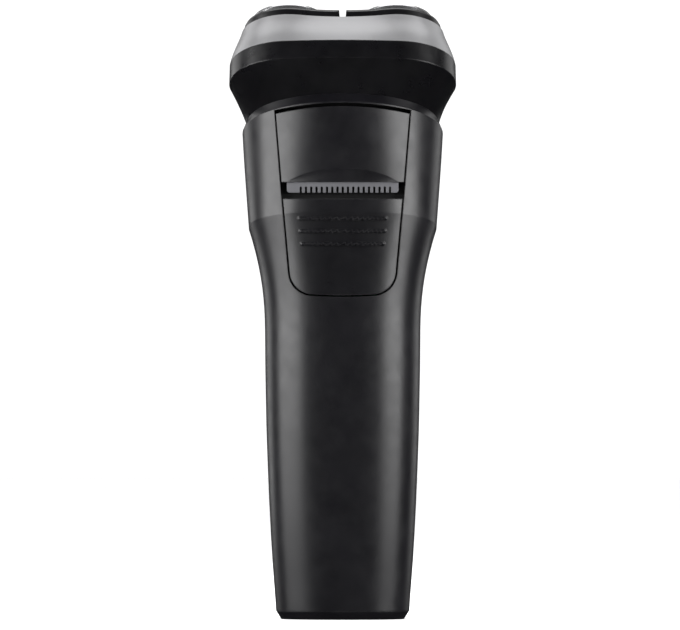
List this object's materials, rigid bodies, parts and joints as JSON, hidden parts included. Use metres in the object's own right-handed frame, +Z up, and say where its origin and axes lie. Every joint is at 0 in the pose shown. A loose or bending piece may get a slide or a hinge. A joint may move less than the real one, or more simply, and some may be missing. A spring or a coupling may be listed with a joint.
{
  "type": "rotary electric shaver",
  "caption": "Cordless rotary shaver: satin black handle with pop-out trimmer and slider, pull-off tilted head with floating slotted cutters in a silver band.",
  "frame": {"origin": "centre of the flat underside of the base cap, on the surface the shaver stands on", "axes": "+Z up along the handle; -Y the back, with the trimmer and its slider; +Y the front, with the power button, towards which the head leans 25 degrees; +X to the right of a viewer who faces the back"},
  "size_m": [0.0592, 0.0609, 0.1605],
  "materials": {
    "satin_black": "satin",
    "gloss_black": "gloss",
    "head_black": "satin",
    "satin_silver": "satin metallic lacquer",
    "steel": "brushed",
    "gear_plastic": "matte",
    "inner_plastic": "matte",
    "seal_rubber": "matte",
    "ferrite": "matte",
    "battery_wrap": "gloss sleeve",
    "board_green": "solder mask",
    "component_black": "matte",
    "brass": "turned"
  },
  "bodies": {
    "handle": {"rear_shell": "satin_black", "front_shell": "satin_black", "base_cap": "satin_black", "usb_socket": "steel", "top_deck": "inner_plastic", "coupling_magnets": "steel", "neck_seal": "seal_rubber", "shaft_seal": "seal_rubber", "motor_can": "steel", "motor_magnets": "ferrite", "motor_end_cap": "inner_plastic", "motor_mount": "inner_plastic", "motor_screws": "steel", "battery": "battery_wrap", "battery_tabs": "steel", "chassis": "inner_plastic", "circuit_board": "board_green", "board_components": "component_black", "power_switch": "component_black", "button_ring": "satin_silver", "indicator_lens": "gloss_black", "trimmer_bay": "inner_plastic", "trimmer_hinge_pin": "steel", "trimmer_spring": "steel"},
    "motor_shaft": {"motor_rotor": "steel", "eccentric_cam": "gear_plastic", "drive_coupling": "gear_plastic"},
    "trimmer_drive": {"drive_arm": "gear_plastic"},
    "button": {"power_button": "satin_black"},
    "slider": {"trimmer_slider": "gloss_black"},
    "trimmer": {"trimmer_cover": "satin_black", "trimmer_comb": "steel"},
    "rocker": {"trimmer_rocker": "gear_plastic"},
    "moving_blade": {"trimmer_blade": "steel", "blade_carrier": "gear_plastic"},
    "head": {"head_bowl": "head_black", "strike_plates": "steel", "sun_bush": "brass", "silver_band": "satin_silver", "gear_pins": "steel", "gear_cover": "inner_plastic", "head_frame": "inner_plastic", "petal_pins": "steel"},
    "sun": {"sun_gear": "gear_plastic"},
    "planet_1": {"planet_gear_1": "gear_plastic", "drive_spindle_1": "gear_plastic"},
    "petal_1": {"petal_1": "head_black"},
    "guard_1": {"guard_cap_1": "steel"},
    "cutter_1": {"cutter_1": "steel"},
    "planet_2": {"planet_gear_2": "gear_plastic", "drive_spindle_2": "gear_plastic"},
    "petal_2": {"petal_2": "head_black"},
    "guard_2": {"guard_cap_2": "steel"},
    "cutter_2": {"cutter_2": "steel"},
    "planet_3": {"planet_gear_3": "gear_plastic", "drive_spindle_3": "gear_plastic"},
    "petal_3": {"petal_3": "head_black"},
    "guard_3": {"guard_cap_3": "steel"},
    "cutter_3": {"cutter_3": "steel"}
  },
  "joints": [
    {"name": "motor_spin", "type": "hinge", "parent": "handle", "child": "motor_shaft", "pos_m": [0, 0.00791, 0.12868], "axis": [0, 0.4226, 0.9063], "continuous": true},
    {"name": "trimmer_drive_swing", "type": "hinge", "parent": "handle", "child": "trimmer_drive", "pos_m": [0, -0.00123, 0.12919], "axis": [0, 0.4226, 0.9063], "range_deg": [-4, 4]},
    {"name": "power_button_press", "type": "slide", "parent": "handle", "child": "button", "axis": [0, -1, 0], "range_m": [0, 0.0005], "stiffness_N_per_m": 3000},
    {"name": "trimmer_slider_travel", "type": "slide", "parent": "handle", "child": "slider", "axis": [0, 0, 1], "range_m": [0, 0.001], "stiffness_N_per_m": 1500},
    {"name": "trimmer_swing", "type": "hinge", "parent": "handle", "child": "trimmer", "pos_m": [0, -0.0099, 0.1315], "axis": [-1, 0, 0], "range_deg": [0, 75]},
    {"name": "trimmer_rocker_swing", "type": "hinge", "parent": "trimmer", "child": "rocker", "pos_m": [0, -0.0117, 0.1215], "axis": [0, 1, 0], "range_deg": [-4, 4]},
    {"name": "trimmer_blade_stroke", "type": "slide", "parent": "trimmer", "child": "moving_blade", "axis": [1, 0, 0], "range_m": [-0.0004, 0.0004]},
    {"name": "head_pull_off", "type": "slide", "parent": "handle", "child": "head", "axis": [0, 0.4226, 0.9063], "range_m": [0, 0.045]},
    {"name": "sun_gear_spin", "type": "hinge", "parent": "head", "child": "sun", "pos_m": [0, 0.00791, 0.12868], "axis": [0, 0.4226, 0.9063], "continuous": true},
    {"name": "planet_gear_1_spin", "type": "hinge", "parent": "head", "child": "planet_1", "pos_m": [-0.01403, 0.00479, 0.14116], "axis": [0, 0.4226, 0.9063], "continuous": true},
    {"name": "petal_1_tilt", "type": "hinge", "parent": "head", "child": "petal_1", "pos_m": [-0.02312, 0.00325, 0.15027], "axis": [-0.5, 0.7849, -0.366], "range_deg": [0, 5], "stiffness_Nm_per_rad": 0.3, "springref_deg": -2.86},
    {"name": "guard_1_float", "type": "slide", "parent": "petal_1", "child": "guard_1", "axis": [0, -0.4226, -0.9063], "range_m": [0, 0.001], "stiffness_N_per_m": 400, "springref_m": -0.0002},
    {"name": "cutter_1_spin", "type": "hinge", "parent": "guard_1", "child": "cutter_1", "pos_m": [-0.01403, 0.01071, 0.15385], "axis": [0, 0.4226, 0.9063], "continuous": true},
    {"name": "planet_gear_2_spin", "type": "hinge", "parent": "head", "child": "planet_2", "pos_m": [0.01403, 0.00479, 0.14116], "axis": [0, 0.4226, 0.9063], "continuous": true},
    {"name": "petal_2_tilt", "type": "hinge", "parent": "head", "child": "petal_2", "pos_m": [0.02312, 0.00325, 0.15027], "axis": [-0.5, -0.7849, 0.366], "range_deg": [0, 5], "stiffness_Nm_per_rad": 0.3, "springref_deg": -2.86},
    {"name": "guard_2_float", "type": "slide", "parent": "petal_2", "child": "guard_2", "axis": [0, -0.4226, -0.9063], "range_m": [0, 0.001], "stiffness_N_per_m": 400, "springref_m": -0.0002},
    {"name": "cutter_2_spin", "type": "hinge", "parent": "guard_2", "child": "cutter_2", "pos_m": [0.01403, 0.01071, 0.15385], "axis": [0, 0.4226, 0.9063], "continuous": true},
    {"name": "planet_gear_3_spin", "type": "hinge", "parent": "head", "child": "planet_3", "pos_m": [0, 0.02681, 0.13089], "axis": [0, 0.4226, 0.9063], "continuous": true},
    {"name": "petal_3_tilt", "type": "hinge", "parent": "head", "child": "petal_3", "pos_m": [0, 0.03954, 0.13334], "axis": [1, 0, 0], "range_deg": [0, 5], "stiffness_Nm_per_rad": 0.3, "springref_deg": -2.86},
    {"name": "guard_3_float", "type": "slide", "parent": "petal_3", "child": "guard_3", "axis": [0, -0.4226, -0.9063], "range_m": [0, 0.001], "stiffness_N_per_m": 400, "springref_m": -0.0002},
    {"name": "cutter_3_spin", "type": "hinge", "parent": "guard_3", "child": "cutter_3", "pos_m": [0, 0.03273, 0.14358], "axis": [0, 0.4226, 0.9063], "continuous": true}
  ],
  "couplings": [
    {"joint": "sun_gear_spin", "follows": "motor_spin", "ratio": 1},
    {"joint": "trimmer_rocker_swing", "follows": "trimmer_blade_stroke", "rad_per_m": -173.91},
    {"joint": "planet_gear_1_spin", "follows": "motor_spin", "ratio": -0.5},
    {"joint": "cutter_1_spin", "follows": "motor_spin", "ratio": -0.5},
    {"joint": "planet_gear_2_spin", "follows": "motor_spin", "ratio": -0.5},
    {"joint": "cutter_2_spin", "follows": "motor_spin", "ratio": -0.5},
    {"joint": "planet_gear_3_spin", "follows": "motor_spin", "ratio": -0.5},
    {"joint": "cutter_3_spin", "follows": "motor_spin", "ratio": -0.5}
  ]
}
